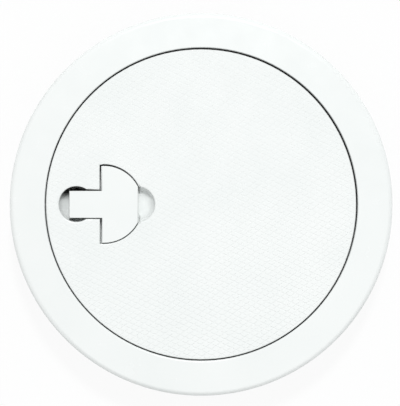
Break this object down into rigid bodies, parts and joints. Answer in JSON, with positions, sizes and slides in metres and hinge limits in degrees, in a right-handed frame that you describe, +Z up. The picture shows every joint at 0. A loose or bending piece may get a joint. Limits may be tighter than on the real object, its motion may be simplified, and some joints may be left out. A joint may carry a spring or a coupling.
{
  "type": "deck inspection plate",
  "caption": "Round deck plate with a flush, non-slip lift-out lid in a flanged frame, opened by a recessed rocker handle that draws a spring bolt.",
  "frame": {"origin": "centre of the collar at the deck plane, which is the underside of the flange", "axes": "+Z up out of the deck; the latch is at -X and the hooked edge of the lid at +X"},
  "size_m": [0.28, 0.28, 0.0445],
  "materials": {
    "white_abs": "moulded white plastic, satin gloss",
    "natural_acetal": "moulded natural acetal, matt",
    "black_rubber": "soft black rubber",
    "stainless_steel": "drawn stainless steel"
  },
  "bodies": {
    "frame": {"frame": "white_abs", "deck_gasket": "black_rubber"},
    "lid": {"lid": "white_abs", "lid_seal": "black_rubber", "latch_housing": "white_abs", "housing_gasket": "black_rubber", "housing_screws": "stainless_steel", "bolt_spring": "stainless_steel", "edge_catch": "natural_acetal", "catch_screws": "stainless_steel"},
    "handle": {"handle": "white_abs", "pivot_pin": "stainless_steel"},
    "bolt": {"bolt": "natural_acetal"}
  },
  "joints": [
    {"name": "lid_tilt", "type": "hinge", "parent": "frame", "child": "lid", "pos_m": [0.113, 0, 0.0065], "axis": [0, 1, 0], "range_deg": [0, 60]},
    {"name": "handle_lift", "type": "hinge", "parent": "lid", "child": "handle", "pos_m": [-0.066, 0, 0.0026], "axis": [0, -1, 0], "range_deg": [0, 35], "stiffness_Nm_per_rad": 0.3, "springref_deg": -5.73},
    {"name": "bolt_draw", "type": "slide", "parent": "lid", "child": "bolt", "axis": [1, 0, 0], "range_m": [0, 0.0072], "deforming": ["bolt_spring"]}
  ],
  "couplings": [
    {"joint": "bolt_draw", "follows": "handle_lift", "m_per_rad": 0.011786}
  ]
}
